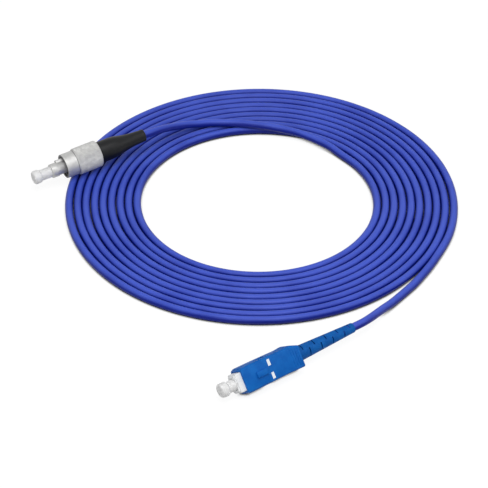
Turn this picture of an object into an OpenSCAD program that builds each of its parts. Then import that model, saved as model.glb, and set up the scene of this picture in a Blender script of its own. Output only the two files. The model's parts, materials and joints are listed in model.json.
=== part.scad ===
// Fibre optic patch cord: a coiled 3 mm simplex cable with an FC connector at one end
// and an SC connector at the other, each under a push-on dust cap.
// Millimetres. The origin is the middle of the coil on the surface it lies on, +Z is up.
// Each connector is built along its own x axis, which points out of its nose.

/* [Cable] */
// Outer diameter of the jacket
cable_d = 3.0; // [2.9:0.1:3.0]
// Inner radius of the coil
coil_inner_r = 43.0; // [42:0.5:43]
// Outer radius of the coil
coil_outer_r = 74.7; // [74:0.1:75]

/* [Ferrules] */
// Diameter of the ceramic ferrule
ferrule_d = 2.5; // [2.49:0.01:2.5]
// How far the ferrule stands out of the connector's front
ferrule_reach = 1.2; // [0.8:0.1:1.2]

/* [FC connector] */
// Diameter of the barrel's front register
fc_register_d = 5.4; // [5.36:0.02:5.5]
// Width of the alignment key
fc_key_w = 2.0; // [1.9:0.05:2.1]
// Diameter over the nut's knurl
fc_knurl_d = 10.4; // [9.8:0.1:10.4]
// Number of teeth in the knurl
fc_knurl_teeth = 60; // [40:2:72]
// Diameter of the nut's smooth front
fc_nut_front_d = 9.4; // [9.2:0.1:9.6]
// Minor diameter of the nut's M8 x 0.75 thread
fc_thread_minor_d = 7.2; // [7.15:0.05:7.3]

/* [SC connector] */
// Width of the grip housing at its mouth
sc_housing_w = 9.2; // [9.0:0.05:9.3]
// Height of the grip housing
sc_housing_h = 7.4; // [7.3:0.05:7.5]
// Length of the grip housing
sc_housing_l = 24.4; // [24.2:0.1:25]
// How far the plug frame stands out of the grip housing
sc_frame_reach = 2.6; // [2.2:0.1:2.6]

/* [Hidden] */

turned_fn = 96;
skin = 0.05;       // running gap between two pieces that slide
cut = 1;           // how far a cutter runs past the face it opens

// Where each connector lies: middle of the nut's rear face, and middle of the grip's mouth
fc_centre = [-61.2, 20.6, 9.2];
fc_yaw = 208.6;
fc_tilt = 5;               // how far the nose points down
fc_roll = 38;
sc_centre = [-7.2, -109.1, 5.52];
sc_yaw = 216.5;
sc_roll = -52;

// Cable between the FC boot and the coil's inner turn
fc_lead_bends = [
    [-41.6, 31.5, 10.9], [-38.6, 33.9, 10.4], [-35.6, 36.7, 9.4], [-32.3, 39.7, 8.1],
    [-28.4, 42.7, 6.7], [-23.8, 45.1, 5.5], [-18.6, 46.7, 4.8], [-12.8, 47.2, 4.5],
    [-7.0, 46.8, 4.5], [-1.2, 46.0, 4.4], [4.6, 45.0, 4.1], [10.4, 43.6, 3.7],
    [16.2, 41.6, 3.3], [22.0, 38.5, 2.7], [27.6, 34.5, 2.1], [31.1, 31.1, 1.5]
];
// Cable between the coil's outer turn and the SC boot
sc_lead_bends = [
    [60.3, -42.2, 1.5], [56.6, -49.0, 1.5], [53.6, -53.1, 1.5], [50.4, -57.2, 1.5],
    [47.4, -61.1, 1.7], [44.3, -65.1, 2.4], [41.4, -69.5, 3.5], [39.0, -73.3, 4.6],
    [36.2, -76.8, 5.4]
];
cable_sides = 8;
coil_edge = 0.5;

// Sizes that both connectors share
cable_r = cable_d / 2;
ferrule_r = ferrule_d / 2;
ferrule_l = 12.4;
ferrule_tip = 0.3;
ferrule_hole_r = 0.0625;
flange_r = 2.0;
flange_l = 1.95;
flange_tail_r = 1.0;
flange_tail_l = 2.4;
flange_wall = 0.4;         // left behind the ferrule in the flange
buffer_r = 0.45;
buffer_way_r = 0.55;
buffer_reach = 1.2;        // how far the buffered fibre stops behind the flange
spring_r = 1.65;
spring_wire_r = 0.25;
spring_turns = 5;
spring_steps = 16;         // rings in one turn of a spring
spring_sides = 6;
neck_r = 1.5;
neck_bore_r = 0.8;
yarn_r = 1.7;
yarn_gap = 0.2;
sleeve_r = 2.1;
sleeve_tail_r = 1.85;
jacket_grip = 3.5;         // length of crimp sleeve that grips the jacket
jacket_gap = 0.2;          // jacket's end to the end of the crimp neck
boot_bore_r = 2.15;

// Dust cap, measured from the connector's front face
cap_stem_r = 2.15;
cap_inside = 5.0;
cap_outside = 4.4;
cap_knob_r = 2.6;
cap_knob_l = 2.9;
cap_round = 0.6;
cap_bore_r = ferrule_r + 0.02;
cap_bore_end = ferrule_reach + 1.8;

// FC connector, measured from the nut's rear face
fc_front = 20.4;
fc_register_l = 2.8;
fc_register_chamfer = 0.3;
fc_barrel_r = 2.5;
fc_flange_from = 6.65;
fc_flange_to = 8.2;
fc_flange_r = 3.45;
fc_key_from = 11.4;
fc_key_to = 17.4;
fc_key_r = 3.3;
fc_mouth_from = 11.9;
fc_mouth_r = 2.2;
fc_shoulder_from = 10.8;
fc_shoulder_r = 1.45;
fc_chamber_r = 2.1;
fc_rear = 3.4;
fc_sleeve_to = 1.7;
fc_spigot_to = 4.9;
fc_collar_from = 1.9;
fc_neck_from = -4.6;
fc_ring_from = 4.8;
fc_ring_to = 5.4;
fc_ring_inner_r = 2.8;
fc_ring_outer_r = 4.0;
fc_nut_from = 0.2;
fc_nut_to = 14.9;
fc_knurl_to = 10.0;
fc_knurl_depth = 0.2;
fc_knurl_chamfer = 0.4;
fc_lip_r = 3.7;
fc_relief_r = 3.8;
fc_thread_from = 9;
fc_mouth_chamfer = 0.4;
fc_boot_end = -19.6;
fc_boot_bore_r = 1.6;
fc_boot_socket_to = -8.2;
fc_boot_spigot_r = 3.3;
fc_boot_spigot_to = 0.9;

// SC connector, measured from the grip housing's mouth at rest
sc_travel = 2.0;
sc_cap_seat = 1.4;         // how much deeper the cap sits than in the FC connector
sc_front = sc_frame_reach;
sc_rear = -14.5;
sc_frame_w = 6.8;
sc_frame_h = 5.4;
sc_frame_chamfer = 0.5;
sc_frame_edge = 0.3;
sc_mouth_from = -6.0;
sc_mouth_r = 2.25;
sc_shoulder_from = -7.0;
sc_shoulder_r = 1.45;
sc_chamber_r = 2.2;
sc_tab_from = -10.0;
sc_tab_to = -8.6;
sc_tab_w = 2.4;
sc_tab_h = 0.5;
sc_notch_from = -3.4;
sc_notch_to = -0.6;
sc_notch_w = 2.6;
sc_notch_depth = 0.5;
sc_bore_w = 7.0;
sc_bore_h = 5.6;
sc_bore_end = -16.55;
sc_boot_way_r = 2.95;
sc_edge = 0.6;
sc_mouth_bevel = 0.8;
sc_taper_from = -6.0;
sc_waist_x = -18.5;
sc_waist_w = 8.6;
sc_flare_x = -20.5;
sc_flare_w = 9.0;
sc_heel_l = 3.0;           // bevel at one rear corner of the grip
sc_heel_d = 1.1;
sc_rib_flare = 0.15;
sc_rib_first = -20.7;
sc_rib_count = 4;
sc_rib_pitch = 0.95;
sc_rib_l = 0.5;
sc_rib_w = 6.4;
sc_key_from = -9.9;
sc_key_to = -5.2;
sc_key_w = 2.0;
sc_key_h = 0.8;
sc_mark_x = -11.3;
sc_mark_y = 2.4;
sc_mark_l = 1.1;
sc_mark_w = 2.3;
sc_mark_h = 0.06;
sc_spigot_to = -13.0;
sc_collar_r = 2.6;
sc_collar_from = -16.0;
sc_sleeve_to = -16.2;
sc_neck_from = -22.0;
sc_boot_from = -49.4;
sc_boot_to = -16.6;
sc_boot_taper_to = -25.5;
sc_boot_r = 2.8;
sc_boot_tip_r = 1.8;
sc_boot_socket_to = -25.6;
sc_boot_bore_r = 1.55;
sc_slot_count = 9;
sc_slot_first = -26.4;
sc_slot_pitch = 2.6;
sc_slot_w = 0.5;
sc_slot_offset = 0.1;      // middle of the boot to the floor of a slot
sc_slot_turn = 18;         // the slots' own turn about the axis

// --- Placing ---------------------------------------------------------------

function heading(yaw, tilt) = [cos(yaw) * cos(tilt), sin(yaw) * cos(tilt), -sin(tilt)];
function fc_at(x) = fc_centre + x * heading(fc_yaw, fc_tilt);
function sc_at(x) = sc_centre + x * heading(sc_yaw, 0);

module place_fc() {
    translate(fc_centre) rotate([0, fc_tilt, fc_yaw]) rotate([fc_roll, 0, 0]) children();
}

module place_sc() {
    translate(sc_centre) rotate([0, 0, sc_yaw]) rotate([sc_roll, 0, 0]) children();
}

// --- Shapes ----------------------------------------------------------------

// A piece turned about x from an outline of [radius, x] points
module turned(outline) {
    rotate([0, 90, 0]) rotate_extrude($fn = turned_fn) polygon(outline);
}

module rod(r, from, to) {
    translate([from, 0, 0]) rotate([0, 90, 0]) cylinder(r = r, h = to - from, $fn = turned_fn);
}

module tube(outer_r, inner_r, from, to) {
    turned([[inner_r, from], [outer_r, from], [outer_r, to], [inner_r, to]]);
}

// A block centred on x, with its long edges bevelled
module bar(w, h, edge, from, to) {
    y = w / 2;
    z = h / 2;
    translate([from, 0, 0]) rotate([90, 0, 90]) linear_extrude(to - from) polygon([
        [-y + edge, -z], [y - edge, -z], [y, -z + edge], [y, z - edge],
        [y - edge, z], [-y + edge, z], [-y, z - edge], [-y, -z + edge]
    ]);
}

module block(w, h, from, to) {
    translate([from, -w / 2, -h / 2]) cube([to - from, w, h]);
}

function unit(v) = v / norm(v);

// Points of a round section, square to the direction along
function section(centre, along, radius, sides) =
    let (side = unit(cross(along, [0, 0, 1])), top = unit(cross(side, along)))
    [for (i = [0:sides - 1])
        centre + radius * (cos(360 * i / sides) * side + sin(360 * i / sides) * top)];

// A round bar swept along a route that never runs straight up
module sweep(route, radius, sides) {
    last = len(route) - 1;
    points = [for (i = [0:last])
        each section(route[i], route[min(i + 1, last)] - route[max(i - 1, 0)], radius, sides)];
    walls = [for (i = [0:last - 1], j = [0:sides - 1])
        let (a = i * sides + j, b = i * sides + (j + 1) % sides)
        each [[a, b, b + sides], [a, b + sides, a + sides]]];
    start_cap = [for (j = [sides - 1:-1:0]) j];
    end_cap = [for (j = [0:sides - 1]) last * sides + j];
    polyhedron(points, concat(walls, [start_cap, end_cap]));
}

// --- Pieces that both connectors hold -----------------------------------------
// front is the x of the connector's front face

function ferrule_rear(front) = front + ferrule_reach - ferrule_l;
function flange_rear(front) = ferrule_rear(front) - flange_wall;

module ferrule(front) {
    tip = front + ferrule_reach;
    turned([
        [ferrule_hole_r, ferrule_rear(front)], [ferrule_r, ferrule_rear(front)],
        [ferrule_r, tip - ferrule_tip], [ferrule_r - ferrule_tip, tip],
        [ferrule_hole_r, tip]
    ]);
}

// The metal collar that holds the ferrule and takes the spring's push
module ferrule_flange(front) {
    rear = flange_rear(front);
    difference() {
        union() {
            rod(flange_r, rear, rear + flange_l);
            rod(flange_tail_r, rear - flange_tail_l, rear);
        }
        rod(ferrule_r, ferrule_rear(front), rear + flange_l + cut);
        rod(buffer_way_r, rear - flange_tail_l - cut, ferrule_rear(front) + skin);
    }
}

// A compression spring between two faces
module spring(from, to) {
    rise = to - from - 2 * spring_wire_r;
    steps = spring_turns * spring_steps;
    route = [for (i = [0:steps])
        let (turn = 360 * i / spring_steps)
        [spring_r * cos(turn), spring_r * sin(turn), spring_wire_r + rise * i / steps]];
    translate([from, 0, 0]) rotate([0, 90, 0]) sweep(route, spring_wire_r, spring_sides);
}

// The tight-buffered fibre from the jacket's end into the flange's tail
module buffer_fibre(neck_from, front) {
    rod(buffer_r, neck_from - jacket_gap, flange_rear(front) - buffer_reach);
}

// Aramid yarn folded back over the crimp neck
module yarn(neck_from, sleeve_to) {
    tube(yarn_r, neck_r, neck_from + yarn_gap, sleeve_to - yarn_gap / 2);
}

// The crimp sleeve grips the yarn on the neck, then the end of the jacket
module crimp_sleeve(neck_from, sleeve_to) {
    difference() {
        union() {
            rod(sleeve_r, neck_from, sleeve_to);
            rod(sleeve_tail_r, neck_from - jacket_grip, neck_from);
        }
        rod(yarn_r, neck_from, sleeve_to + cut);
        rod(cable_r, neck_from - jacket_grip - cut, neck_from + skin);
    }
}

module dust_cap(front) {
    knob_from = front + cap_outside;
    end = knob_from + cap_knob_l;
    difference() {
        turned([
            [0, front - cap_inside], [cap_stem_r, front - cap_inside],
            [cap_stem_r, knob_from], [cap_knob_r - cap_round / 2, knob_from],
            [cap_knob_r, knob_from + cap_round / 2], [cap_knob_r, end - cap_round],
            [cap_knob_r - cap_round, end], [0, end]
        ]);
        rod(cap_bore_r, front - cap_inside - cut, front + cap_bore_end);
    }
}

// --- FC connector -------------------------------------------------------------

module fc_frame() {
    register_r = fc_register_d / 2;
    color("silver") place_fc() difference() {
        union() {
            turned([
                [0, fc_rear], [fc_barrel_r, fc_rear], [fc_barrel_r, fc_flange_from],
                [fc_flange_r, fc_flange_from], [fc_flange_r, fc_flange_to],
                [fc_barrel_r, fc_flange_to], [fc_barrel_r, fc_front - fc_register_l],
                [register_r, fc_front - fc_register_l],
                [register_r, fc_front - fc_register_chamfer],
                [register_r - fc_register_chamfer, fc_front], [0, fc_front]
            ]);
            translate([fc_key_from, -fc_key_w / 2, 0])
                cube([fc_key_to - fc_key_from, fc_key_w, fc_key_r]);
        }
        rod(fc_mouth_r, fc_mouth_from, fc_front + cut);
        rod(fc_shoulder_r, fc_shoulder_from - cut, fc_mouth_from + cut);
        rod(fc_chamber_r, fc_rear - cut, fc_shoulder_from);
    }
}

module fc_body() {
    color("gainsboro") place_fc() turned([
        [neck_bore_r, fc_neck_from], [neck_r, fc_neck_from], [neck_r, fc_collar_from],
        [fc_barrel_r, fc_collar_from], [fc_barrel_r, fc_rear], [fc_chamber_r, fc_rear],
        [fc_chamber_r, fc_spigot_to], [neck_bore_r, fc_spigot_to]
    ]);
}

module fc_ferrule() {
    color("white") place_fc() ferrule(fc_front);
}

module fc_ferrule_flange() {
    color("silver") place_fc() ferrule_flange(fc_front);
}

module fc_spring() {
    color("gray") place_fc() spring(fc_spigot_to + skin, flange_rear(fc_front) - skin);
}

module fc_buffer_fibre() {
    color("ivory") place_fc() buffer_fibre(fc_neck_from, fc_front);
}

module fc_yarn() {
    color("gold") place_fc() yarn(fc_neck_from, fc_sleeve_to);
}

module fc_crimp_sleeve() {
    color("goldenrod") place_fc() crimp_sleeve(fc_neck_from, fc_sleeve_to);
}

module fc_nut_ring() {
    color("dimgray") place_fc() tube(fc_ring_outer_r, fc_ring_inner_r, fc_ring_from, fc_ring_to);
}

// Outline of the knurl across the nut: a point on each tooth and one in each valley
function knurl_outline(r, teeth) = [for (i = [0:2 * teeth - 1])
    let (angle = 180 * i / teeth, reach = i % 2 == 0 ? r : r - fc_knurl_depth)
    [reach * cos(angle), reach * sin(angle)]];

// The teeth, with a cone turned off each end of them
module fc_knurl() {
    r = fc_knurl_d / 2;
    bevel = r - fc_knurl_chamfer;
    clear = fc_knurl_chamfer / 2;
    intersection() {
        translate([fc_nut_from, 0, 0]) rotate([90, 0, 90])
            linear_extrude(fc_knurl_to - fc_nut_from) polygon(knurl_outline(r, fc_knurl_teeth));
        turned([
            [0, fc_nut_from - cut], [bevel - cut, fc_nut_from - cut],
            [r + clear, fc_nut_from + fc_knurl_chamfer + clear],
            [r + clear, fc_knurl_to - fc_knurl_chamfer - clear],
            [bevel - cut, fc_knurl_to + cut], [0, fc_knurl_to + cut]
        ]);
    }
}

module fc_nut() {
    thread_r = fc_thread_minor_d / 2;
    groove_r = fc_ring_outer_r + skin;
    mouth_r = thread_r + fc_mouth_chamfer;
    color("lightgray") place_fc() difference() {
        union() {
            fc_knurl();
            rod(fc_nut_front_d / 2, fc_knurl_to, fc_nut_to);
        }
        turned([
            [0, fc_nut_from - cut], [fc_lip_r, fc_nut_from - cut], [fc_lip_r, fc_ring_from - skin],
            [groove_r, fc_ring_from - skin], [groove_r, fc_ring_to + skin],
            [fc_relief_r, fc_ring_to + skin], [fc_relief_r, fc_thread_from],
            [thread_r, fc_thread_from], [thread_r, fc_nut_to - fc_mouth_chamfer],
            [mouth_r, fc_nut_to], [mouth_r, fc_nut_to + cut], [0, fc_nut_to + cut]
        ]);
    }
}

module fc_boot() {
    color("dimgray") place_fc() difference() {
        turned([
            [0, fc_boot_end], [2.1, fc_boot_end], [2.38, fc_boot_end + 0.4], [2.5, -16.7],
            [2.75, -13.7], [3.4, -9.8], [3.95, -7.0], [4.15, -5.5], [4.15, -0.4],
            [3.9, 0], [fc_boot_spigot_r, 0], [fc_boot_spigot_r, fc_boot_spigot_to],
            [0, fc_boot_spigot_to]
        ]);
        rod(boot_bore_r, fc_boot_socket_to, fc_boot_spigot_to + cut);
        rod(fc_boot_bore_r, fc_boot_end - cut, fc_boot_socket_to + cut);
    }
}

module fc_dust_cap() {
    color("whitesmoke") place_fc() dust_cap(fc_front);
}

// --- SC connector -------------------------------------------------------------

module sc_plug_frame() {
    nose = sc_front - sc_frame_chamfer;
    color("white") place_sc() difference() {
        union() {
            bar(sc_frame_w, sc_frame_h, sc_frame_edge, sc_rear, nose);
            bar(sc_frame_w - 2 * sc_frame_chamfer, sc_frame_h - 2 * sc_frame_chamfer,
                sc_frame_edge, nose, sc_front);
            block(sc_frame_w + 2 * sc_tab_h, sc_tab_w, sc_tab_from, sc_tab_to);
        }
        for (side = [-1, 1])
            translate([0, side * sc_frame_w / 2, 0])
                block(2 * sc_notch_depth, sc_notch_w, sc_notch_from, sc_notch_to);
        rod(sc_mouth_r, sc_mouth_from, sc_front + cut);
        rod(sc_shoulder_r, sc_shoulder_from - cut, sc_mouth_from + cut);
        rod(sc_chamber_r, sc_rear - cut, sc_shoulder_from);
    }
}

module sc_housing() {
    color("royalblue") place_sc() difference() {
        union() {
            intersection() {
                bar(sc_housing_w, sc_housing_h, sc_edge, -sc_housing_l, 0);
                sc_grip_plan();
            }
            sc_grip_ribs();
            translate([sc_key_from, -sc_key_w / 2, 0])
                cube([sc_key_to - sc_key_from, sc_key_w, sc_housing_h / 2 + sc_key_h]);
        }
        block(sc_bore_w, sc_bore_h, sc_bore_end, cut);
        block(sc_housing_w + cut, sc_tab_w + 2 * skin, sc_tab_from - sc_travel - skin,
            sc_tab_to + skin);
        rod(sc_boot_way_r, -sc_housing_l - cut, sc_bore_end + cut);
    }
}

// The grip seen from its key side: a slight waist, then a flare with one bevelled heel
module sc_grip_plan() {
    mouth = sc_housing_w / 2;
    waist = sc_waist_w / 2;
    flare = sc_flare_w / 2;
    translate([0, 0, -sc_housing_h]) linear_extrude(2 * sc_housing_h) polygon([
        [0, sc_mouth_bevel - mouth], [0, mouth - sc_mouth_bevel], [-sc_mouth_bevel, mouth],
        [sc_taper_from, mouth], [sc_waist_x, waist], [sc_flare_x, flare],
        [-sc_housing_l, flare], [-sc_housing_l, sc_heel_d - flare],
        [sc_heel_l - sc_housing_l, -flare], [sc_flare_x, -flare], [sc_waist_x, -waist],
        [sc_taper_from, -mouth], [-sc_mouth_bevel, -mouth]
    ]);
}

// Cross ribs for the fingers on the key face and the face opposite
module sc_grip_ribs() {
    for (i = [0:sc_rib_count - 1])
        block(sc_rib_w, sc_housing_h + 2 * sc_rib_flare, sc_rib_first - i * sc_rib_pitch - sc_rib_l,
            sc_rib_first - i * sc_rib_pitch);
}

module sc_index_marks() {
    color("white") place_sc() for (side = [-1, 1])
        translate([sc_mark_x - sc_mark_l / 2, side * sc_mark_y - sc_mark_w / 2, sc_housing_h / 2])
            cube([sc_mark_l, sc_mark_w, sc_mark_h]);
}

module sc_ferrule() {
    color("white") place_sc() ferrule(sc_front);
}

module sc_ferrule_flange() {
    color("silver") place_sc() ferrule_flange(sc_front);
}

module sc_spring() {
    color("gray") place_sc() spring(sc_spigot_to + skin, flange_rear(sc_front) - skin);
}

module sc_stop() {
    color("gainsboro") place_sc() turned([
        [neck_bore_r, sc_neck_from], [neck_r, sc_neck_from], [neck_r, sc_collar_from],
        [sc_collar_r, sc_collar_from], [sc_collar_r, sc_rear], [sc_chamber_r, sc_rear],
        [sc_chamber_r, sc_spigot_to], [neck_bore_r, sc_spigot_to]
    ]);
}

module sc_buffer_fibre() {
    color("ivory") place_sc() buffer_fibre(sc_neck_from, sc_front);
}

module sc_yarn() {
    color("gold") place_sc() yarn(sc_neck_from, sc_sleeve_to);
}

module sc_crimp_sleeve() {
    color("goldenrod") place_sc() crimp_sleeve(sc_neck_from, sc_sleeve_to);
}

// Half-ring slots, cut from alternate sides so that the boot bends
module sc_boot_slots() {
    for (i = [0:sc_slot_count - 1]) {
        middle = sc_slot_first - i * sc_slot_pitch;
        side = i % 2 == 0 ? -1 : 1;
        rotate([sc_slot_turn, 0, 0]) translate([0, side * (sc_slot_offset + sc_boot_r), 0])
            block(2 * sc_boot_r, 3 * sc_boot_r, middle - sc_slot_w / 2, middle + sc_slot_w / 2);
    }
}

module sc_boot() {
    color("royalblue") place_sc() difference() {
        turned([
            [0, sc_boot_from], [sc_boot_tip_r, sc_boot_from], [sc_boot_r, sc_boot_taper_to],
            [sc_boot_r, sc_boot_to], [0, sc_boot_to]
        ]);
        rod(boot_bore_r, sc_boot_socket_to, sc_boot_to + cut);
        rod(sc_boot_bore_r, sc_boot_from - cut, sc_boot_socket_to + cut);
        sc_boot_slots();
    }
}

module sc_dust_cap() {
    color("whitesmoke") place_sc() dust_cap(sc_front - sc_cap_seat);
}

// --- Cable ----------------------------------------------------------------------

// The outer shape of the coiled part
module cable_coil() {
    color("slateblue") rotate_extrude($fn = turned_fn) polygon([
        [coil_inner_r + coil_edge, 0], [coil_outer_r - coil_edge, 0],
        [coil_outer_r, coil_edge], [coil_outer_r, cable_d - coil_edge],
        [coil_outer_r - coil_edge, cable_d], [coil_inner_r + coil_edge, cable_d],
        [coil_inner_r, cable_d - coil_edge], [coil_inner_r, coil_edge]
    ]);
}

module cable_fc_lead() {
    in_boot = [for (x = [fc_neck_from - jacket_gap, -12, fc_boot_end + 0.2]) fc_at(x)];
    color("slateblue") sweep(concat(in_boot, fc_lead_bends), cable_r, cable_sides);
}

module cable_sc_lead() {
    in_boot = [for (x = [sc_boot_from + 0.2, -36, sc_neck_from - jacket_gap]) sc_at(x)];
    color("slateblue") sweep(concat(sc_lead_bends, in_boot), cable_r, cable_sides);
}

fc_frame();
fc_body();
fc_ferrule();
fc_ferrule_flange();
fc_spring();
fc_buffer_fibre();
fc_yarn();
fc_crimp_sleeve();
fc_nut_ring();
fc_nut();
fc_boot();
fc_dust_cap();
sc_plug_frame();
sc_housing();
sc_index_marks();
sc_ferrule();
sc_ferrule_flange();
sc_spring();
sc_stop();
sc_buffer_fibre();
sc_yarn();
sc_crimp_sleeve();
sc_boot();
sc_dust_cap();
cable_coil();
cable_fc_lead();
cable_sc_lead();
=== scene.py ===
"""Visual model of a coiled fibre optic patch cord with an FC and an SC connector.

Everything is in metres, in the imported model's own frame: the coil lies on the plane z = 0
with its middle at the origin.
"""

import json
import math

import bmesh
import bpy
from mathutils import Matrix, Vector


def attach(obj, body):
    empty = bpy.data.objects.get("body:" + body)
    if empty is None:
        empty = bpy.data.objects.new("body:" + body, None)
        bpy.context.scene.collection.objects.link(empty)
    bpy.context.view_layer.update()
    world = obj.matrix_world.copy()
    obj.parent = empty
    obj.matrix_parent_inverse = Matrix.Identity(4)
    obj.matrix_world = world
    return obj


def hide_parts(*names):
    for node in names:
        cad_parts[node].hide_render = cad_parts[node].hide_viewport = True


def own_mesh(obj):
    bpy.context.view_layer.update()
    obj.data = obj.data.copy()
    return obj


MM = 0.001
TURN = 2 * math.pi

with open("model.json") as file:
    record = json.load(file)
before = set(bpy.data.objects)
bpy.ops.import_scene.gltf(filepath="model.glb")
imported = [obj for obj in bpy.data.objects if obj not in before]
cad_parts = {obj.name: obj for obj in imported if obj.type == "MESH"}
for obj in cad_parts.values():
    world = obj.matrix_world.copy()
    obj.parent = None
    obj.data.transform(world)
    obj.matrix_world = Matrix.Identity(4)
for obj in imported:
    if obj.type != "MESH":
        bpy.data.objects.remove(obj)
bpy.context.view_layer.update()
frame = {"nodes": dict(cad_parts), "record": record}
mounts = {mount["name"]: mount for mount in frame["record"]["mounts"]}

# The cable: diameter, whole length, and the spiral that its coiled part follows
CABLE_D = 3.0 * MM
COIL_R = 44.4 * MM          # radius where the spiral crosses +X for the first time
COIL_PITCH = 3.204 * MM     # how much a full turn adds to the radius
COIL_START = -45            # degrees, clockwise from +X as seen from above
COIL_END = 9 * 360 + 35
COIL_STEP = 15
COIL_WANDER = [(0.06 * MM, 2.37), (0.04 * MM, 3.6)]   # reach, and waves in a turn

# The cable between the FC boot and the coil, and between the coil and the SC boot (mm)
FC_LEAD = [
    (-41.6, 31.5, 10.9), (-38.6, 33.9, 10.4), (-35.6, 36.7, 9.4), (-32.3, 39.7, 8.1),
    (-28.4, 42.7, 6.7), (-23.8, 45.1, 5.5), (-18.6, 46.7, 4.8), (-12.8, 47.2, 4.5),
    (-7.0, 46.8, 4.5), (-1.2, 46.0, 4.4), (4.6, 45.0, 4.1), (10.4, 43.6, 3.7),
    (16.2, 41.6, 3.3), (22.0, 38.5, 2.7), (27.6, 34.5, 2.1),
]
SC_LEAD = [
    (56.6, -49.0, 1.5), (53.6, -53.1, 1.5), (50.4, -57.2, 1.5),
    (47.4, -61.1, 1.7), (44.3, -65.1, 2.4), (41.4, -69.5, 3.5), (39.0, -73.3, 4.6),
    (36.2, -76.8, 5.4),
]

# FC connector, measured along its axis from the nut's rear face
FC_ROLL = math.radians(38)
FC_MOUTH = 14.9 * MM        # the nut's mouth, where the thread mount is
FC_FRONT = 20.4 * MM
FC_CABLE_FROM = -4.8 * MM
FC_CABLE_MIDDLE = -12 * MM
FC_BOOT_END = -19.6 * MM

# SC connector, measured along its axis from the grip's mouth
SC_ROLL = math.radians(-52)
SC_FRONT = 2.6 * MM         # the plug frame's front, where the plug mount is
SC_CABLE_FROM = -22.2 * MM
SC_CABLE_MIDDLE = -36 * MM
SC_BOOT_END = -49.4 * MM


# --- Places -----------------------------------------------------------------------

def connector_place(mount, offset, roll):
    """Matrix of a connector's own frame: +X out of its nose, origin offset behind a mount."""
    axis = Vector(mount["axis"]).normalized()
    origin = Vector(mount["pos_m"]) - offset * axis
    yaw = math.atan2(axis.y, axis.x)
    tilt = math.asin(-axis.z)
    return (
        Matrix.Translation(origin)
        @ Matrix.Rotation(yaw, 4, "Z")
        @ Matrix.Rotation(tilt, 4, "Y")
        @ Matrix.Rotation(roll, 4, "X")
    )


FC_PLACE = connector_place(mounts["fc_coupling_thread"], FC_MOUTH, FC_ROLL)
SC_PLACE = connector_place(mounts["sc_plug"], SC_FRONT, SC_ROLL)


def along(place, x):
    """The point x metres along a connector's axis."""
    return place @ Vector((x, 0, 0))


def to_scene(name, data):
    """A new object of the scene, made of data."""
    made = bpy.data.objects.new(name, data)
    bpy.context.scene.collection.objects.link(made)
    return made


# --- Camera -----------------------------------------------------------------------

CAMERA_LENS = 199.2
CAMERA_ELEVATION = math.radians(37.72)
CAMERA_DISTANCE = 1.0
CAMERA_TARGET = Vector((-5.72, -24.32, 0)) * MM


def make_camera():
    data = bpy.data.cameras.new("camera")
    data.lens = CAMERA_LENS
    data.sensor_width = 36
    data.clip_start = 0.05
    data.clip_end = 20
    camera = to_scene("camera", data)
    back = Vector((0, -math.cos(CAMERA_ELEVATION), math.sin(CAMERA_ELEVATION)))
    camera.location = CAMERA_TARGET + CAMERA_DISTANCE * back
    camera.rotation_euler = (-back).to_track_quat("-Z", "Y").to_euler()
    bpy.context.scene.camera = camera


# --- Node helpers -----------------------------------------------------------------

def linear(r, g, b):
    """A display colour, 0 to 255, as the linear colour a shader takes."""
    def decode(value):
        value /= 255
        return value / 12.92 if value <= 0.04045 else ((value + 0.055) / 1.055) ** 2.4
    return (decode(r), decode(g), decode(b), 1.0)


def add_node(tree, kind, inputs=None, **settings):
    """A shader node with its settings made and its inputs set or linked."""
    made = tree.nodes.new("ShaderNode" + kind)
    for name, value in settings.items():
        setattr(made, name, value)
    for name, value in (inputs or {}).items():
        if isinstance(value, bpy.types.NodeSocket):
            tree.links.new(value, made.inputs[name])
        else:
            made.inputs[name].default_value = value
    return made


def blank_material(name):
    material = bpy.data.materials.new(name)
    material.use_nodes = True
    material.node_tree.nodes.clear()
    return material, material.node_tree


def close_material(tree, shader):
    output = add_node(tree, "OutputMaterial")
    tree.links.new(shader, output.inputs["Surface"])


def grain(tree, scale, stretch=(1, 1, 1), detail=3, turn=None):
    """Noise over a piece, with stretch its scale along each axis.

    The axes are the world's, or those of turn, a connector's matrix, where it is given.
    """
    place = add_node(tree, "TexCoord").outputs["Object"]
    if turn:
        place = add_node(tree, "Mapping", {
            "Vector": place, "Rotation": turn.inverted().to_euler(),
        }).outputs["Vector"]
    spread = add_node(tree, "Mapping", {"Vector": place, "Scale": stretch})
    made = add_node(tree, "TexNoise", {
        "Vector": spread.outputs["Vector"], "Scale": scale, "Detail": detail,
    })
    return made.outputs["Fac"]


def between(tree, factor, low, high, start=0.35, end=0.65):
    """A number that runs from low to high as factor runs from start to end."""
    made = add_node(tree, "MapRange", {
        "Value": factor, "From Min": start, "From Max": end, "To Min": low, "To Max": high,
    })
    return made.outputs["Result"]


def mix_colours(tree, factor, first, second):
    """The first colour where factor is 0, and the second where it is 1."""
    mix = add_node(tree, "Mix", data_type="RGBA")
    tree.links.new(factor, mix.inputs["Factor"])
    sockets = [socket for socket in mix.inputs if socket.type == "RGBA"]
    for socket, colour in zip(sockets, (first, second)):
        if isinstance(colour, bpy.types.NodeSocket):
            tree.links.new(colour, socket)
        else:
            socket.default_value = colour
    return next(out for out in mix.outputs if out.type == "RGBA")


def blend_colours(tree, factor, low, high, start=0.35, end=0.65):
    """A colour that runs from low to high as factor runs from start to end."""
    return mix_colours(tree, between(tree, factor, 0, 1, start, end), low, high)


def bump(tree, height, distance):
    return add_node(tree, "Bump", {"Height": height, "Distance": distance}).outputs["Normal"]


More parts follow.
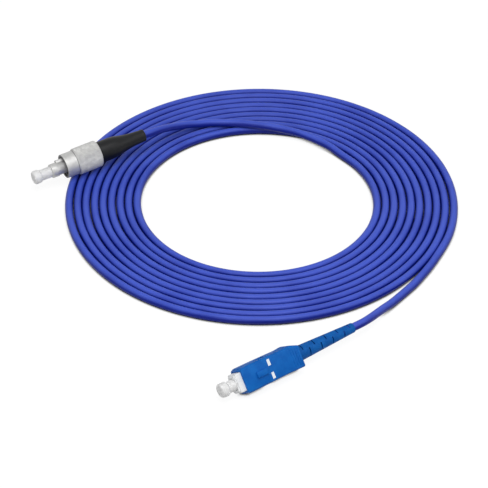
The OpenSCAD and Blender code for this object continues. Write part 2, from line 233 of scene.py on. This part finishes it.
def moulded(name, dark, light, patch, rough, pore, relief, finish):
    """A moulded surface: a slow change of colour, a fine grain, and a roughness that wanders.

    patch and pore are the sizes in metres of the colour's patches and of the grain.
    """
    material, tree = blank_material(name)
    slow = grain(tree, 1 / patch, detail=2)
    fine = grain(tree, 1 / pore, detail=4)
    inputs = {
        "Base Color": blend_colours(tree, slow, dark, light),
        "Roughness": between(tree, fine, rough[0], rough[1]),
        "Normal": bump(tree, fine, relief),
    }
    inputs.update(finish)
    shader = add_node(tree, "BsdfPrincipled", inputs)
    close_material(tree, shader.outputs["BSDF"])
    return material


# --- Materials --------------------------------------------------------------------

JACKET_FLANK = linear(6, 28, 138)
JACKET_TOP = linear(72, 95, 208)
JACKET_STREAKS = 2200       # marks in a metre, across the cable
JACKET_DRIFT = 0.04         # how much slower the marks change along the cable
NICKEL_METALLIC = 0.45
# Colour of the painted shade and dark reflections on the nickel
NICKEL_DARK = linear(78, 78, 80)


def jacket_material():
    """Blue PVC, with the faint lengthwise marks that an extruder leaves.

    It is written paler where it faces up. That stands for the light on it, and isn't wear or
    dye: a real jacket is one colour all round.
    """
    material, tree = blank_material("jacket")
    place = add_node(tree, "TexCoord").outputs["Object"]
    split = add_node(tree, "SeparateXYZ", {"Vector": place})
    flat = add_node(tree, "CombineXYZ", {"X": split.outputs["X"], "Y": split.outputs["Y"]})
    radius = add_node(tree, "VectorMath", {0: flat.outputs["Vector"]}, operation="LENGTH")
    drift = add_node(tree, "Math", {
        0: split.outputs["X"], 1: JACKET_DRIFT,
    }, operation="MULTIPLY")
    lines = add_node(tree, "CombineXYZ", {
        "X": radius.outputs["Value"], "Y": split.outputs["Z"], "Z": drift.outputs["Value"],
    })
    streaks = add_node(tree, "TexNoise", {
        "Vector": lines.outputs["Vector"], "Scale": JACKET_STREAKS, "Detail": 3,
    }).outputs["Fac"]
    facing = add_node(tree, "SeparateXYZ", {
        "Vector": add_node(tree, "NewGeometry").outputs["Normal"],
    })
    upward = add_node(tree, "Math", {
        0: facing.outputs["Z"], 1: between(tree, grain(tree, 60, detail=2), -0.1, 0.1),
    }, operation="ADD")
    shader = add_node(tree, "BsdfPrincipled", {
        "Base Color": blend_colours(
            tree, upward.outputs["Value"], JACKET_FLANK, JACKET_TOP, 0.35, 1.0),
        "Roughness": between(tree, streaks, 0.36, 0.48),
        "Normal": bump(tree, streaks, 0.012 * MM),
        "Specular IOR Level": 0.2,
    })
    close_material(tree, shader.outputs["BSDF"])
    return material


def nickel_material():
    """Nickel plate over turned brass: fine marks run round the FC connector's axis.

    A piece's painted shade values darken its colour: in the bottom of the knurl's grooves, on the
    nut's mouth, in its bore and at the foot of its step, and on the key, to hold down its bright
    reflection. They are painted shade and dark reflections, and the low Metallic value stands
    for how little the plate mirrors what is round it. Real plate is alike all over, and wholly
    metal.
    """
    material, tree = blank_material("nickel")
    rings = grain(tree, 9000, stretch=(1, 0.02, 0.02), turn=FC_PLACE)
    plate = blend_colours(
        tree, grain(tree, 700, detail=2), linear(188, 188, 187), linear(201, 201, 199))
    # Painted shade, read from each piece's points, darkens the plate towards NICKEL_DARK
    painted_shade = add_node(tree, "Attribute", attribute_name="painted_shade").outputs["Fac"]
    shader = add_node(tree, "BsdfPrincipled", {
        "Base Color": mix_colours(tree, painted_shade, plate, NICKEL_DARK),
        "Metallic": NICKEL_METALLIC,
        "Roughness": between(tree, rings, 0.38, 0.50),
        "Normal": bump(tree, rings, 0.002 * MM),
    })
    close_material(tree, shader.outputs["BSDF"])
    return material


def cap_material():
    """Soft natural polythene: milky, and slightly clear."""
    material, tree = blank_material("cap_plastic")
    pores = grain(tree, 6000)
    shader = add_node(tree, "BsdfPrincipled", {
        "Base Color": blend_colours(
            tree, grain(tree, 500, detail=2), linear(240, 240, 240), linear(248, 248, 248)),
        "Roughness": between(tree, pores, 0.30, 0.42),
        "Normal": bump(tree, pores, 0.006 * MM),
        "Subsurface Weight": 0.6,
        "Subsurface Radius": (1.0, 1.0, 1.0),
        "Subsurface Scale": 1.2 * MM,
        "Transmission Weight": 0.1,
        "IOR": 1.51,
    })
    close_material(tree, shader.outputs["BSDF"])
    return material


def yarn_material():
    """Golden aramid: bright threads along the FC connector's axis."""
    material, tree = blank_material("aramid")
    threads = grain(tree, 7000, stretch=(0.05, 1, 1), detail=2, turn=FC_PLACE)
    shader = add_node(tree, "BsdfPrincipled", {
        "Base Color": blend_colours(
            tree, threads, linear(176, 132, 40), linear(232, 196, 92)),
        "Roughness": between(tree, threads, 0.35, 0.6),
        "Normal": bump(tree, threads, 0.03 * MM),
    })
    close_material(tree, shader.outputs["BSDF"])
    return material


MOULDED = [
    # slot, darker and lighter colour, patch size, roughness, pore size, relief, other inputs
    ("zirconia", (236, 234, 226), (246, 245, 240), 2, (0.05, 0.12), 0.2, 0.0005, {}),
    ("spring_steel", (150, 150, 152), (190, 190, 192), 0.6, (0.2, 0.35), 0.1, 0.002,
     {"Metallic": 1.0}),
    ("buffer", (226, 226, 218), (240, 240, 234), 2, (0.35, 0.5), 0.2, 0.002, {}),
    ("crimp_metal", (176, 160, 128), (206, 192, 160), 1.5, (0.3, 0.45), 0.15, 0.004,
     {"Metallic": 1.0}),
    ("black_rubber", (9, 10, 13), (15, 16, 19), 3, (0.38, 0.52), 0.18, 0.008,
     {"Specular IOR Level": 0.22}),
    ("blue_rubber", (2, 84, 162), (10, 96, 176), 3, (0.50, 0.64), 0.16, 0.008,
     {"Specular IOR Level": 0.15}),
    ("blue_plastic", (4, 92, 178), (12, 104, 190), 4, (0.46, 0.58), 0.14, 0.005,
     {"Specular IOR Level": 0.15}),
    ("white_plastic", (238, 240, 242), (247, 248, 249), 3, (0.32, 0.45), 0.14, 0.004, {}),
    ("mark_paint", (232, 240, 248), (244, 249, 253), 1, (0.45, 0.6), 0.1, 0.004, {}),
]

MATERIALS = {
    "jacket": jacket_material(),
    "nickel": nickel_material(),
    "cap_plastic": cap_material(),
    "aramid": yarn_material(),
}
for slot, dark, light, patch, rough, pore, relief, finish in MOULDED:
    MATERIALS[slot] = moulded(
        slot, linear(*dark), linear(*light), patch * MM, rough, pore * MM, relief * MM, finish)


# --- Geometry helpers -------------------------------------------------------------

def add_piece(name, data, place, body, slot, stands_for):
    """Puts a piece in the scene, on its body, in the finish of one of the record's slots.

    It replaces the CAD nodes that it stands for.
    """
    data.transform(place)
    piece = to_scene(name, data)
    data.materials.clear()
    data.materials.append(MATERIALS[slot])
    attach(piece, body)
    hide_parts(*stands_for)
    return piece


SHARP_ANGLE = math.radians(32)


def smooth_by_angle(mesh, angle=SHARP_ANGLE):
    """Shades a mesh smooth, with its edges sharper than angle left sharp. No point moves."""
    mesh.shade_smooth()
    mesh.set_sharp_from_angle(angle=angle)


def spun_mesh(name, outline, columns, closed=True, relief=None):
    """A mesh turned about x from an outline of (x, radius) points.

    A closed outline makes a ring; an open one starts and ends on the axis. relief(row, angle)
    is taken off the radius.
    """
    mesh = bpy.data.meshes.new(name)
    rows = []
    points = []
    for row, (x, radius) in enumerate(outline):
        if radius == 0:
            rows.append([len(points)] * columns)
            points.append((x, 0, 0))
            continue
        ring = []
        for column in range(columns):
            angle = TURN * column / columns
            reach = radius - (relief(row, angle) if relief else 0)
            ring.append(len(points))
            points.append((x, reach * math.cos(angle), reach * math.sin(angle)))
        rows.append(ring)
    pairs = list(zip(rows, rows[1:]))
    if closed:
        pairs.append((rows[-1], rows[0]))
    faces = []
    for lower, upper in pairs:
        for column in range(columns):
            following = (column + 1) % columns
            corners = [lower[column], lower[following], upper[following], upper[column]]
            faces.append(list(dict.fromkeys(corners)))
    mesh.from_pydata(points, [], faces)
    work = bmesh.new()
    work.from_mesh(mesh)
    bmesh.ops.recalc_face_normals(work, faces=work.faces)
    work.to_mesh(mesh)
    work.free()
    smooth_by_angle(mesh)
    return mesh


def arc(centre, radius, start, end, steps):
    """Points of an arc in an outline, from one angle to another in degrees."""
    found = []
    for step in range(steps + 1):
        angle = math.radians(start + (end - start) * step / steps)
        found.append((centre[0] + radius * math.cos(angle), centre[1] + radius * math.sin(angle)))
    return found


def smooth_outline(points, steps):
    """Catmull-Rom points through an outline's points."""
    found = []
    for i in range(len(points) - 1):
        before = Vector(points[max(i - 1, 0)])
        here = Vector(points[i])
        there = Vector(points[i + 1])
        after = Vector(points[min(i + 2, len(points) - 1)])
        for step in range(steps):
            t = step / steps
            found.append(tuple(
                0.5 * (2 * here + (there - before) * t
                       + (2 * before - 5 * here + 4 * there - after) * t * t
                       + (3 * here - before - 3 * there + after) * t ** 3)
            ))
    found.append(tuple(points[-1]))
    return found


def copied_mesh(node, place):
    """A copy of a CAD node's mesh, in a connector's own frame."""
    mesh = frame["nodes"][node].data.copy()
    mesh.transform(place.inverted())
    return mesh


MERGE_WITHIN = 0.002 * MM
FLAT_ANGLE = math.radians(1)        # faces that meet at less than this become one
CORNER_ANGLE = math.radians(30)     # edges sharper than this are rounded


def softened_copy(node, place, width):
    """A copy of a CAD node's mesh in a connector's frame, with its edges slightly rounded."""
    mesh = copied_mesh(node, place)
    mesh.name = node + "_soft"
    work = bmesh.new()
    work.from_mesh(mesh)
    bmesh.ops.remove_doubles(work, verts=work.verts, dist=MERGE_WITHIN)
    bmesh.ops.dissolve_limit(
        work, angle_limit=FLAT_ANGLE, verts=work.verts, edges=work.edges)
    corners = [
        edge for edge in work.edges
        if len(edge.link_faces) == 2 and edge.calc_face_angle(0) > CORNER_ANGLE
    ]
    bmesh.ops.bevel(
        work, geom=corners, offset=width, segments=2, profile=0.5,
        affect="EDGES", clamp_overlap=True)
    work.to_mesh(mesh)
    work.free()
    smooth_by_angle(mesh)
    return mesh


# --- Cable ------------------------------------------------------------------------

def spiral_point(angle):
    """A point of the coil, at an angle in degrees clockwise from +X."""
    turns = angle / 360
    radius = COIL_R + COIL_PITCH * turns
    radius += sum(reach * math.sin(TURN * waves * turns) for reach, waves in COIL_WANDER)
    turned = math.radians(angle)
    return Vector((radius * math.cos(turned), -radius * math.sin(turned), CABLE_D / 2))


def cable_route():
    """The cable's centre line from inside the FC boot to inside the SC boot."""
    start = [along(FC_PLACE, x) for x in (FC_CABLE_FROM, FC_CABLE_MIDDLE, FC_BOOT_END)]
    lead_in = [Vector(point) * MM for point in FC_LEAD]
    steps = (COIL_END - COIL_START) // COIL_STEP
    coil = [spiral_point(COIL_START + step * COIL_STEP) for step in range(steps + 1)]
    lead_out = [Vector(point) * MM for point in SC_LEAD]
    end = [along(SC_PLACE, x) for x in (SC_BOOT_END, SC_CABLE_MIDDLE, SC_CABLE_FROM)]
    return start + lead_in + coil + lead_out + end


def make_cable():
    route = cable_route()
    data = bpy.data.curves.new("cable", "CURVE")
    data.dimensions = "3D"
    data.bevel_depth = CABLE_D / 2
    data.bevel_resolution = 6
    data.resolution_u = 8
    data.use_fill_caps = True
    spline = data.splines.new("BEZIER")
    spline.bezier_points.add(len(route) - 1)
    for i, point in enumerate(route):
        before = route[max(i - 1, 0)]
        after = route[min(i + 1, len(route) - 1)]
        heading = (after - before).normalized()
        knot = spline.bezier_points[i]
        knot.handle_left_type = "FREE"
        knot.handle_right_type = "FREE"
        knot.co = point
        knot.handle_left = point - heading * (point - before).length / 3
        knot.handle_right = point + heading * (after - point).length / 3
    cable = add_piece("cable", data, Matrix.Identity(4), "patch_cord", "jacket",
                      ("cable_coil", "cable_fc_lead", "cable_sc_lead"))


# --- FC connector -----------------------------------------------------------------

KNURL_R = 5.2 * MM
KNURL_TEETH = 60
KNURL_FROM = 0.2 * MM
KNURL_TO = 10.0 * MM
KNURL_CHAMFER = 0.4 * MM
KNURL_DEPTH = 0.2 * MM
KNURL_LENGTH = 0.94 * MM    # length of one diamond
KNURL_ROWS = 61
KNURL_BOTTOM = 0.6          # share of a groove's depth where its painted shade starts
KNURL_GROOVE_SHADE = 0.3            # how dark the painted shade at the bottom of a groove is
MOUTH_BORE_STEP_SHADE = 1.0              # and the painted shade on the mouth, in the bore and at the foot of the step
NUT_FRONT_R = 4.7 * MM
NUT_EDGE = 0.12 * MM
NUT_COLUMNS = 6 * KNURL_TEETH
STEP_TO = KNURL_TO + 0.1 * MM
STEP_LINE = 0.3 * MM        # painted shadow line at the foot of the step from the knurl to the front
THREAD_FROM = 9.0 * MM
THREAD_PITCH = 0.75 * MM
THREAD_R = 3.6 * MM
THREAD_DEPTH = 0.36 * MM
THREAD_STEPS = 8            # rows in one pitch of the thread
THREAD_FLAT = 1.35          # how far the groove's sides would go on beyond its flat bottom
MOUTH_CHAMFER = 0.4 * MM
LIP_R = 3.7 * MM
LIP_EDGE = 0.1 * MM
RELIEF_R = 3.8 * MM
GROOVE_R = 4.05 * MM
GROOVE_FROM = 4.75 * MM
GROOVE_TO = 5.45 * MM


def knurl_cut(x, angle):
    """How deep the crossed grooves of a diamond knurl are at a place on the nut."""
    across = KNURL_TEETH * angle / TURN
    lengthwise = x / KNURL_LENGTH
    grooves = [1 - abs(2 * ((across + side * lengthwise) % 1) - 1) for side in (-1, 1)]
    return KNURL_DEPTH * max(grooves)


def knurl_shade(x, angle):
    """How much shade is painted on the knurl at a place: only along the bottom of its grooves."""
    depth = knurl_cut(x, angle) / KNURL_DEPTH
    return KNURL_GROOVE_SHADE * max(0, depth - KNURL_BOTTOM) / (1 - KNURL_BOTTOM)


def thread_cut(x, angle):
    """How far the thread's groove goes into the nut's wall at a place in its bore."""
    phase = (x / THREAD_PITCH - angle / TURN) % 1
    return THREAD_DEPTH * min(1, THREAD_FLAT * (1 - abs(2 * phase - 1)))


def nut_outline():
    """The nut's outline, from its rear face over the knurl and back through the bore."""
    outline = [(KNURL_FROM, LIP_R + LIP_EDGE), (KNURL_FROM, KNURL_R - KNURL_CHAMFER)]
    knurl_from = len(outline)
    first = KNURL_FROM + KNURL_CHAMFER
    last = KNURL_TO - KNURL_CHAMFER
    for row in range(KNURL_ROWS):
        outline.append((first + (last - first) * row / (KNURL_ROWS - 1), KNURL_R))
    knurl_to = len(outline)
    outline += [
        (KNURL_TO, KNURL_R - KNURL_CHAMFER), (STEP_TO, NUT_FRONT_R),
        (STEP_TO + STEP_LINE, NUT_FRONT_R), (FC_MOUTH - NUT_EDGE, NUT_FRONT_R),
        (FC_MOUTH, NUT_FRONT_R - NUT_EDGE), (FC_MOUTH, THREAD_R + MOUTH_CHAMFER),
    ]
    thread_to = FC_MOUTH - MOUTH_CHAMFER
    rows = round((thread_to - THREAD_FROM) / THREAD_PITCH * THREAD_STEPS)
    thread_first = len(outline)
    for row in range(rows + 1):
        outline.append((thread_to - (thread_to - THREAD_FROM) * row / rows, THREAD_R))
    thread_last = len(outline)
    outline += [
        (THREAD_FROM, RELIEF_R), (GROOVE_TO, RELIEF_R), (GROOVE_TO, GROOVE_R),
        (GROOVE_FROM, GROOVE_R), (GROOVE_FROM, LIP_R), (KNURL_FROM + LIP_EDGE, LIP_R),
    ]
    return outline, range(knurl_from, knurl_to), range(thread_first, thread_last)


def make_nut():
    outline, knurl_rows, thread_rows = nut_outline()

    def relief(row, angle):
        x = outline[row][0]
        if row in knurl_rows:
            return knurl_cut(x, angle)
        if row in thread_rows:
            return -thread_cut(x, angle)
        return 0

    mesh = spun_mesh("coupling_nut", outline, NUT_COLUMNS, relief=relief)
    # Painted shade: the knurl's grooves, the mouth, the bore and the foot of the step are darker.
    painted_shade = mesh.attributes.new("painted_shade", "FLOAT", "POINT")
    for row, (x, _) in enumerate(outline):
        for column in range(NUT_COLUMNS):
            point = painted_shade.data[row * NUT_COLUMNS + column]
            if row in knurl_rows:
                point.value = knurl_shade(x, TURN * column / NUT_COLUMNS)
            elif x in (FC_MOUTH, STEP_TO) or row >= thread_rows.start:
                point.value = MOUTH_BORE_STEP_SHADE
    add_piece("coupling_nut", mesh, FC_PLACE, "fc_coupling_nut", "nickel", ("fc_nut",))


FC_BOOT_R = 4.15 * MM
FC_BOOT_EDGE = 0.45 * MM
FC_BOOT_BORE = 1.56 * MM
FC_BOOT_SPIGOT = 3.3 * MM
FC_BOOT_SPIGOT_TO = 0.9 * MM
FC_BOOT_BEVEL = 0.15 * MM   # round the spigot's end
FC_BOOT_MOUTH = 0.1 * MM    # bevel where the cable comes out
FC_BOOT_TIP_R = 0.5 * MM
FC_BOOT_TIP_AT = 1.95 * MM  # how far from the axis the tip's rounding is centred
FC_SOCKET_R = 2.15 * MM
FC_SOCKET_TO = -8.2 * MM
FC_BOOT_TAPER = [
    (-5.2, 4.15), (-7.4, 3.93), (-9.8, 3.38), (-12.0, 2.97), (-14.4, 2.68), (-17.0, 2.50),
    (-18.9, 2.40),
]


def make_fc_boot():
    taper = smooth_outline([(x * MM, r * MM) for x, r in FC_BOOT_TAPER], 5)
    tip = arc((FC_BOOT_END + FC_BOOT_TIP_R, FC_BOOT_TIP_AT), FC_BOOT_TIP_R, 75, 180, 7)
    shoulder = arc((-FC_BOOT_EDGE, FC_BOOT_R - FC_BOOT_EDGE), FC_BOOT_EDGE, 0, 90, 6)
    outline = (
        [(FC_BOOT_SPIGOT_TO, FC_SOCKET_R),
         (FC_BOOT_SPIGOT_TO, FC_BOOT_SPIGOT - FC_BOOT_BEVEL),
         (FC_BOOT_SPIGOT_TO - FC_BOOT_BEVEL, FC_BOOT_SPIGOT), (0, FC_BOOT_SPIGOT)]
        + shoulder + taper + tip
        + [(FC_BOOT_END, FC_BOOT_BORE + FC_BOOT_MOUTH),
           (FC_BOOT_END + FC_BOOT_MOUTH, FC_BOOT_BORE),
           (FC_SOCKET_TO, FC_BOOT_BORE), (FC_SOCKET_TO, FC_SOCKET_R)]
    )
    mesh = spun_mesh("fc_boot_sleeve", outline, 96)
    add_piece("fc_boot_sleeve", mesh, FC_PLACE, "patch_cord", "black_rubber", ("fc_boot",))


# --- Dust caps --------------------------------------------------------------------

CAP_STEM_R = 2.15 * MM
CAP_STEM_TAPER = 0.06 * MM  # how much thinner the stem is at the knob
CAP_STRAIGHT = 0.3 * MM     # how far past the connector's front the stem runs straight
CAP_NECK = 0.9 * MM         # how far from the knob the stem is at its thinnest
CAP_LIP = 0.1 * MM
CAP_FILLET = 0.35 * MM
CAP_INSIDE = 5.0 * MM
CAP_OUTSIDE = 4.4 * MM
CAP_KNOB_R = 2.6 * MM
CAP_KNOB_L = 2.9 * MM
CAP_KNOB_BACK = 0.5 * MM    # rounding of the knob's two edges
CAP_KNOB_FRONT = 0.8 * MM
CAP_DISH = 0.05 * MM        # hollow in the knob's face
CAP_DISH_R = 0.9 * MM
CAP_BORE_R = 1.27 * MM
CAP_BORE_END = 3.0 * MM
SC_CAP_SEAT = 1.4 * MM       # how much deeper the cap sits than in the FC connector


def make_dust_cap(name, place, front, body, node):
    """A push-on cap, from its open end inside the connector to its rounded knob."""
    knob_from = front + CAP_OUTSIDE
    end = knob_from + CAP_KNOB_L
    neck_r = CAP_STEM_R - CAP_STEM_TAPER
    outline = (
        [(front + CAP_BORE_END, 0), (front + CAP_BORE_END, CAP_BORE_R),
         (front - CAP_INSIDE, CAP_BORE_R), (front - CAP_INSIDE, CAP_STEM_R - CAP_LIP),
         (front - CAP_INSIDE + CAP_LIP, CAP_STEM_R), (front + CAP_STRAIGHT, CAP_STEM_R),
         (knob_from - CAP_NECK, neck_r)]
        + arc((knob_from - CAP_FILLET, neck_r + CAP_FILLET), CAP_FILLET, 270, 330, 4)
        + arc((knob_from + CAP_KNOB_BACK, CAP_KNOB_R - CAP_KNOB_BACK), CAP_KNOB_BACK, 135, 90, 4)
        + arc((end - CAP_KNOB_FRONT, CAP_KNOB_R - CAP_KNOB_FRONT), CAP_KNOB_FRONT, 90, 0, 8)
        + [(end - CAP_DISH, CAP_DISH_R), (end - CAP_DISH, 0)]
    )
    mesh = spun_mesh(name, outline, 64, closed=False)
    add_piece(name, mesh, place, body, "cap_plastic", (node,))


# --- CAD nodes --------------------------------------------------------------------

SOFTENED = [
    # new piece, CAD node, connector, body, rounding of its edges
    ("fc_barrel", "fc_frame", FC_PLACE, "patch_cord", 0.06 * MM),
    ("sc_frame", "sc_plug_frame", SC_PLACE, "patch_cord", 0.10 * MM),
    ("sc_grip_shell", "sc_housing", SC_PLACE, "sc_grip", 0.14 * MM),
]
FC_BARREL_R = 2.72 * MM     # what stands out further than this is the key or is inside
# painted shade on the key, which holds down its bright reflection
KEY_SHADE = 0.4


def make_softened():
    """The pieces that keep a CAD node's shape, with its edges rounded."""
    slots = {part["node"]: part["material_slot"] for part in frame["record"]["subparts"]}
    for name, node, place, body, width in SOFTENED:
        mesh = softened_copy(node, place, width)
        if slots[node] == "nickel":
            # The key gets painted shade, darker than the plate, to hold down its bright
            # reflection.
            painted_shade = mesh.attributes.new("painted_shade", "FLOAT", "POINT")
            for vertex in mesh.vertices:
                if vertex.co.yz.length > FC_BARREL_R:
                    painted_shade.data[vertex.index].value = KEY_SHADE
        add_piece(name, mesh, place, body, slots[node], (node,))


SPRINGS = [
    # new piece, CAD node, connector, joint that presses it
    ("fc_spring_wire", "fc_spring", FC_PLACE, "fc_ferrule_float"),
    ("sc_spring_wire", "sc_spring", SC_PLACE, "sc_ferrule_float"),
]
SPRING_ANGLE = math.radians(70)


def make_springs():
    """The springs behind the ferrules, each with a mesh of its own."""
    for name, node, place, joint in SPRINGS:
        mesh = copied_mesh(node, place)
        smooth_by_angle(mesh, SPRING_ANGLE)
        spring = add_piece(name, mesh, place, "patch_cord", "spring_steel", (node,))
        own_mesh(spring)


def dress_cad_nodes():
    """Every CAD node takes the material of its slot in the record."""
    for part in frame["record"]["subparts"]:
        mesh = frame["nodes"][part["node"]].data
        mesh.materials.clear()
        mesh.materials.append(MATERIALS[part["material_slot"]])
        smooth_by_angle(mesh)


# --- Stage ------------------------------------------------------------------------

FLOOR_SIZE = 12.0
CONTACT = 2 * MM            # how near the object the floor's painted shade reaches, darkening it in the narrow gaps
OPEN_SKY = (0.25, 0.6)      # share of open sky from where it is darkest to where it is white
FLOOR_GREY = 0.42           # how much light it throws back on the object
FLOOR_SHADOW = 0.16         # how strongly it shows the object's shadow
FLOOR_GLOW = 0.9
ROOM_LIGHT = 0.2


def background_ray(tree):
    """1 for rays that show the background: from the camera, or off or through the object."""
    path = add_node(tree, "LightPath")
    first = add_node(tree, "Math", {
        0: path.outputs["Is Camera Ray"], 1: path.outputs["Is Glossy Ray"],
    }, operation="MAXIMUM")
    both = add_node(tree, "Math", {
        0: first.outputs["Value"], 1: path.outputs["Is Transmission Ray"],
    }, operation="MAXIMUM")
    return both.outputs["Value"]


def make_floor():
    """A pale floor that shows as white, with painted shade where the object stands close over it:
    ambient occlusion dims its glow and its colour there.
    """
    material, tree = blank_material("floor")
    plain = add_node(tree, "BsdfDiffuse", {
        "Color": (FLOOR_GREY, FLOOR_GREY, FLOOR_GREY, 1),
    })
    # Ambient occlusion dims the floor near the object: painted shade in the gaps and under it.
    sky = add_node(tree, "AmbientOcclusion", {"Distance": CONTACT}, samples=8).outputs["AO"]
    shaded = add_node(tree, "BsdfDiffuse", {
        "Color": between(tree, sky, 0.0, FLOOR_SHADOW, *OPEN_SKY),
    })
    strength = between(tree, sky, 0.0, FLOOR_GLOW, *OPEN_SKY)
    glow = add_node(tree, "Emission", {"Color": (1, 1, 1, 1), "Strength": strength})
    white = add_node(tree, "AddShader", {0: shaded.outputs["BSDF"], 1: glow.outputs["Emission"]})
    mix = add_node(tree, "MixShader", {
        0: background_ray(tree), 1: plain.outputs["BSDF"], 2: white.outputs["Shader"],
    })
    close_material(tree, mix.outputs["Shader"])
    mesh = bpy.data.meshes.new("floor")
    half = FLOOR_SIZE / 2
    mesh.from_pydata(
        [(-half, -half, 0), (half, -half, 0), (half, half, 0), (-half, half, 0)],
        [], [(0, 1, 2, 3)])
    mesh.materials.append(material)
    to_scene("floor", mesh)


def make_world():
    """A soft grey room for the lighting, white where the camera sees it."""
    world = bpy.data.worlds.new("world")
    bpy.context.scene.world = world
    world.use_nodes = True
    tree = world.node_tree
    tree.nodes.clear()
    room = add_node(tree, "Background", {"Color": (1, 1, 1, 1), "Strength": ROOM_LIGHT})
    white = add_node(tree, "Background", {"Color": (1, 1, 1, 1), "Strength": 1.0})
    mix = add_node(tree, "MixShader", {
        0: background_ray(tree), 1: room.outputs["Background"], 2: white.outputs["Background"],
    })
    output = add_node(tree, "OutputWorld")
    tree.links.new(mix.outputs["Shader"], output.inputs["Surface"])


LIGHTS = [
    # name, place, size, power in watts
    ("top", (0.05, -0.30, 0.85), 0.6, 4.2),
    ("left", (-0.55, -0.15, 0.40), 0.35, 0.5),
    ("right", (0.55, -0.15, 0.40), 0.35, 0.8),
    ("front", (-0.10, -0.90, 0.25), 0.4, 1.5),
]


def make_lights():
    for name, place, size, power in LIGHTS:
        data = bpy.data.lights.new(name, "AREA")
        data.shape = "SQUARE"
        data.size = size
        data.energy = power
        light = to_scene(name, data)
        light.location = place
        light.rotation_euler = (-Vector(place)).to_track_quat("-Z", "Y").to_euler()
        light.visible_camera = False


# --- Making the scene -------------------------------------------------------------

make_camera()
make_cable()
make_nut()
make_fc_boot()
make_dust_cap("fc_cap_soft", FC_PLACE, FC_FRONT, "fc_cap", "fc_dust_cap")
make_dust_cap("sc_cap_soft", SC_PLACE, SC_FRONT - SC_CAP_SEAT, "sc_cap", "sc_dust_cap")
make_softened()
make_springs()
dress_cad_nodes()
make_floor()
make_world()
make_lights()

bpy.context.scene.view_settings.view_transform = "Standard"
